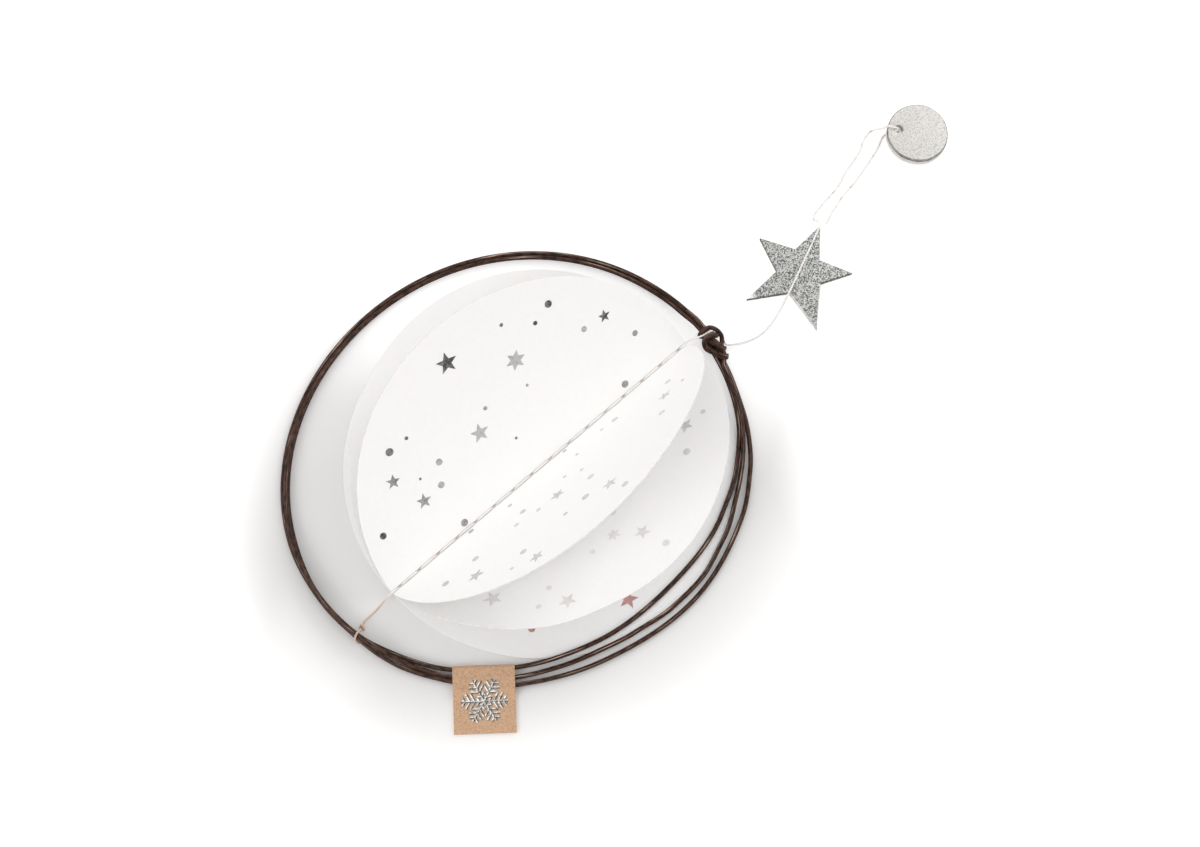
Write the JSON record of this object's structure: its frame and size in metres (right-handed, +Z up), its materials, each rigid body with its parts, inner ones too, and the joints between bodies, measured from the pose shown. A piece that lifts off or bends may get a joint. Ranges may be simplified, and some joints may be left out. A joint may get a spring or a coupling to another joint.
{
  "type": "christmas bauble",
  "caption": "Hanging paper bauble: folded paper circles sewn inside a wound leather ring, with a silver star and a metal tag on a thread loop and a folded kraft label.",
  "frame": {"origin": "on the table, under the middle of the box of the ring, the paper and the label", "axes": "+Y along the sewn seam towards the knot and the hanging loop, +Z up from the table, +X towards the label's side"},
  "size_m": [0.114, 0.2088, 0.0415],
  "materials": {
    "brown_leather": "satin",
    "white_paper": "matte",
    "cotton_thread": "matte",
    "kraft_card": "matte",
    "silver_leather": "satin",
    "cast_metal": "satin"
  },
  "bodies": {
    "ring": {"ring_cord": "brown_leather", "seam_thread": "cotton_thread"},
    "leaf_lower_right": {"lower_leaf_right": "white_paper"},
    "leaf_middle_right": {"middle_leaf_right": "white_paper"},
    "leaf_upper_right": {"upper_leaf_right": "white_paper"},
    "leaf_upper_left": {"upper_leaf_left": "white_paper"},
    "leaf_middle_left": {"middle_leaf_left": "white_paper"},
    "leaf_lower_left": {"lower_leaf_left": "white_paper"},
    "label": {"kraft_label": "kraft_card"},
    "star": {"tail_thread": "cotton_thread", "leather_star": "silver_leather"},
    "loop": {"hanging_loop": "cotton_thread"},
    "tag": {"metal_tag": "cast_metal"}
  },
  "joints": [
    {"name": "lower_right_crease", "type": "hinge", "parent": "ring", "child": "leaf_lower_right", "pos_m": [0.00484, 0.00387, 0.00015], "axis": [0, -1, 0], "range_deg": [-80, 0], "stiffness_Nm_per_rad": 0.01},
    {"name": "middle_right_crease", "type": "hinge", "parent": "ring", "child": "leaf_middle_right", "pos_m": [0.00484, 0.00387, 0.00075], "axis": [0, -1, 0], "range_deg": [-20, 12], "stiffness_Nm_per_rad": 0.01},
    {"name": "upper_right_crease", "type": "hinge", "parent": "ring", "child": "leaf_upper_right", "pos_m": [0.00484, 0.00387, 0.00135], "axis": [0, -1, 0], "range_deg": [-10, 35], "stiffness_Nm_per_rad": 0.01},
    {"name": "upper_left_crease", "type": "hinge", "parent": "ring", "child": "leaf_upper_left", "pos_m": [0.00374, 0.00387, 0.00135], "axis": [0, -1, 0], "range_deg": [-41, 7], "stiffness_Nm_per_rad": 0.01},
    {"name": "middle_left_crease", "type": "hinge", "parent": "ring", "child": "leaf_middle_left", "pos_m": [0.00374, 0.00387, 0.00075], "axis": [0, -1, 0], "range_deg": [-7, 21], "stiffness_Nm_per_rad": 0.01},
    {"name": "lower_left_crease", "type": "hinge", "parent": "ring", "child": "leaf_lower_left", "pos_m": [0.00374, 0.00387, 0.00015], "axis": [0, -1, 0], "range_deg": [0, 80], "stiffness_Nm_per_rad": 0.01},
    {"name": "label_shift", "type": "hinge", "parent": "ring", "child": "label", "pos_m": [-0.00639, -0.00476, 0.001], "axis": [0, 0, 1], "range_deg": [-4, 4]},
    {"name": "tail_lift", "type": "hinge", "parent": "ring", "child": "star", "pos_m": [0.01049, 0.06197, 0.0022], "axis": [1, 0, 0], "range_deg": [0, 60]},
    {"name": "loop_fold", "type": "hinge", "parent": "star", "child": "loop", "pos_m": [0.00324, 0.10287, 0.0015], "axis": [0.986, 0.167, 0], "range_deg": [0, 90]},
    {"name": "tag_swing", "type": "hinge", "parent": "loop", "child": "tag", "pos_m": [-0.00214, 0.13527, 0.0024], "axis": [0, 0, 1], "range_deg": [-25, 25]}
  ]
}
